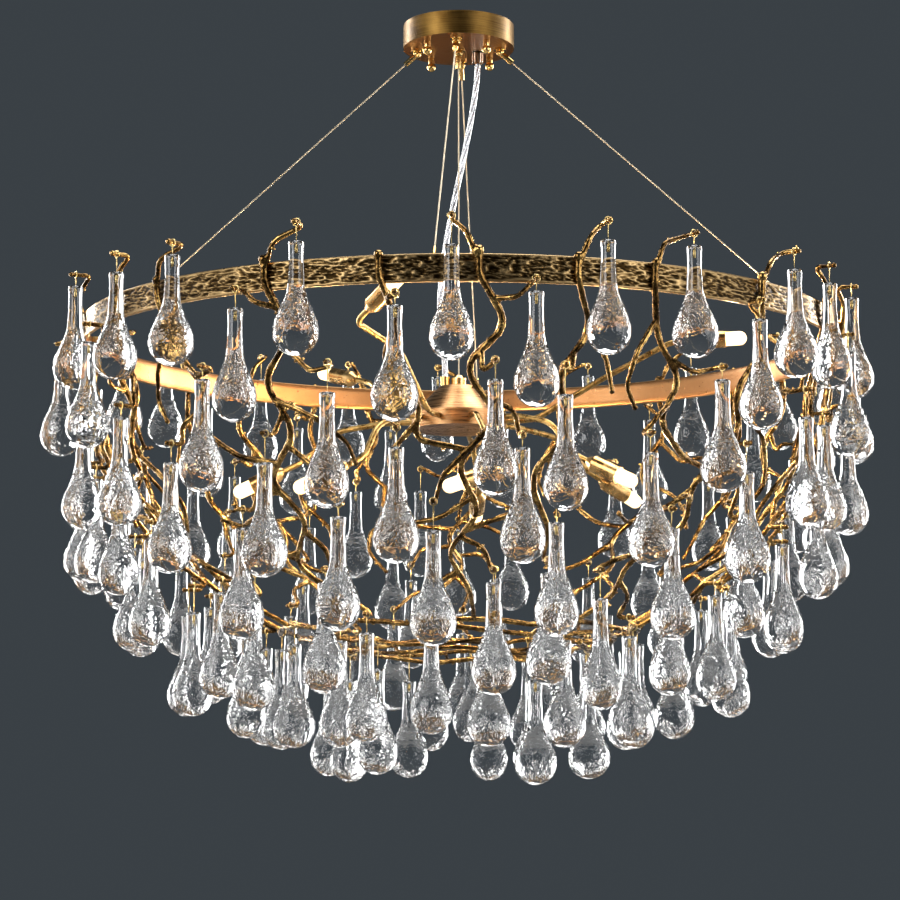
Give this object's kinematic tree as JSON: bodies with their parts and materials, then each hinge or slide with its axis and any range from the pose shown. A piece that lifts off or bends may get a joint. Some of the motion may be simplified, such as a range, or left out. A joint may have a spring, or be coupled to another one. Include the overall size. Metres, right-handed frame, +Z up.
{
  "type": "chandelier",
  "caption": "Round ceiling chandelier: a brass ring on cables carries a bowl of cast branches hung with clear glass teardrops round a hub of capsule lamps.",
  "frame": {"origin": "centre of the canopy's top at the ceiling plane, midway between the two ceiling screw holes", "axes": "+Z up into the ceiling, -Y towards the side seen in the picture, +X to the right in that view"},
  "size_m": [0.8767, 0.8764, 0.815],
  "materials": {
    "cable_steel": "fine twisted strands",
    "zinc_steel": "zinc plated",
    "white_plastic": "moulded",
    "white_ceramic": "glazed ceramic",
    "clear_plastic": "clear sheath over silvery strands",
    "clear_glass": "clear with crackled upper half",
    "frosted_glass": "frosted, lit",
    "wire_brass": "bright wire",
    "antique_brass": "antique, dark in the grooves",
    "bark_brass": "bark-textured outside, smooth inside",
    "lamp_brass": "satin",
    "brushed_brass": "brushed antique gold"
  },
  "bodies": {
    "canopy": {"canopy_cup": "brushed_brass", "ceiling_plate": "zinc_steel", "plate_studs": "zinc_steel", "ball_nuts": "brushed_brass", "terminal_block": "white_plastic", "grip_collars": "brushed_brass", "grip_barrels": "brushed_brass", "cord_grip": "clear_plastic", "ring_cables": "cable_steel", "centre_cable": "cable_steel", "power_cord": "clear_plastic"},
    "fixture": {"bottom_drops": "clear_glass", "bottom_nest": "antique_brass", "branch_01": "antique_brass", "branch_02": "antique_brass", "branch_03": "antique_brass", "branch_04": "antique_brass", "branch_05": "antique_brass", "branch_06": "antique_brass", "branch_07": "antique_brass", "branch_08": "antique_brass", "branch_09": "antique_brass", "branch_10": "antique_brass", "bulbs": "frosted_glass", "cable_eyes": "cable_steel", "cable_lugs": "bark_brass", "drop_hangers": "wire_brass", "hub_bell": "brushed_brass", "hub_coupler": "brushed_brass", "hub_gland": "brushed_brass", "hub_plate": "brushed_brass", "hub_rod": "brushed_brass", "hub_terminal": "white_plastic", "lamp_arms": "lamp_brass", "lamp_holders": "white_ceramic", "lamp_sleeves": "lamp_brass", "lower_drops": "clear_glass", "middle_drops": "clear_glass", "ring_band": "bark_brass", "upper_drops": "clear_glass"},
    "swinging_drop_01": {"rim_drop_01": "clear_glass", "rim_hanger_01": "wire_brass"},
    "swinging_drop_02": {"rim_drop_02": "clear_glass", "rim_hanger_02": "wire_brass"},
    "swinging_drop_03": {"rim_drop_03": "clear_glass", "rim_hanger_03": "wire_brass"},
    "swinging_drop_04": {"rim_drop_04": "clear_glass", "rim_hanger_04": "wire_brass"},
    "swinging_drop_05": {"rim_drop_05": "clear_glass", "rim_hanger_05": "wire_brass"},
    "swinging_drop_06": {"rim_drop_06": "clear_glass", "rim_hanger_06": "wire_brass"},
    "swinging_drop_07": {"rim_drop_07": "clear_glass", "rim_hanger_07": "wire_brass"},
    "swinging_drop_08": {"rim_drop_08": "clear_glass", "rim_hanger_08": "wire_brass"},
    "swinging_drop_09": {"rim_drop_09": "clear_glass", "rim_hanger_09": "wire_brass"},
    "swinging_drop_10": {"rim_drop_10": "clear_glass", "rim_hanger_10": "wire_brass"}
  },
  "joints": [
    {"name": "height_adjust", "type": "slide", "parent": "canopy", "child": "fixture", "axis": [0, 0, 1], "range_m": [0, 0.1], "deforming": ["ring_cables", "centre_cable", "power_cord"]},
    {"name": "drop_swing_01", "type": "hinge", "parent": "fixture", "child": "swinging_drop_01", "pos_m": [0.01809, -0.41444, -0.30542], "axis": [0.0436, -0.999, 0], "range_deg": [-8, 8]},
    {"name": "drop_swing_02", "type": "hinge", "parent": "fixture", "child": "swinging_drop_02", "pos_m": [0.33773, -0.2409, -0.30542], "axis": [0.8141, -0.5807, 0], "range_deg": [-8, 8]},
    {"name": "drop_swing_03", "type": "hinge", "parent": "fixture", "child": "swinging_drop_03", "pos_m": [0.40973, -0.06489, -0.30542], "axis": [0.9877, -0.1564, 0], "range_deg": [-8, 8]},
    {"name": "drop_swing_04", "type": "hinge", "parent": "fixture", "child": "swinging_drop_04", "pos_m": [0.35371, 0.21675, -0.30542], "axis": [0.8526, 0.5225, 0], "range_deg": [-8, 8]},
    {"name": "drop_swing_05", "type": "hinge", "parent": "fixture", "child": "swinging_drop_05", "pos_m": [0.25824, 0.32466, -0.30542], "axis": [0.6225, 0.7826, 0], "range_deg": [-8, 8]},
    {"name": "drop_swing_06", "type": "hinge", "parent": "fixture", "child": "swinging_drop_06", "pos_m": [-0.05056, 0.41175, -0.30542], "axis": [-0.1219, 0.9925, 0], "range_deg": [-8, 8]},
    {"name": "drop_swing_07", "type": "hinge", "parent": "fixture", "child": "swinging_drop_07", "pos_m": [-0.25824, 0.32466, -0.30542], "axis": [-0.6225, 0.7826, 0], "range_deg": [-8, 8]},
    {"name": "drop_swing_08", "type": "hinge", "parent": "fixture", "child": "swinging_drop_08", "pos_m": [-0.38857, 0.14528, -0.30542], "axis": [-0.9367, 0.3502, 0], "range_deg": [-8, 8]},
    {"name": "drop_swing_09", "type": "hinge", "parent": "fixture", "child": "swinging_drop_09", "pos_m": [-0.37597, -0.17532, -0.30542], "axis": [-0.9063, -0.4226, 0], "range_deg": [-8, 8]},
    {"name": "drop_swing_10", "type": "hinge", "parent": "fixture", "child": "swinging_drop_10", "pos_m": [-0.12474, -0.39564, -0.30542], "axis": [-0.3007, -0.9537, 0], "range_deg": [-8, 8]}
  ]
}
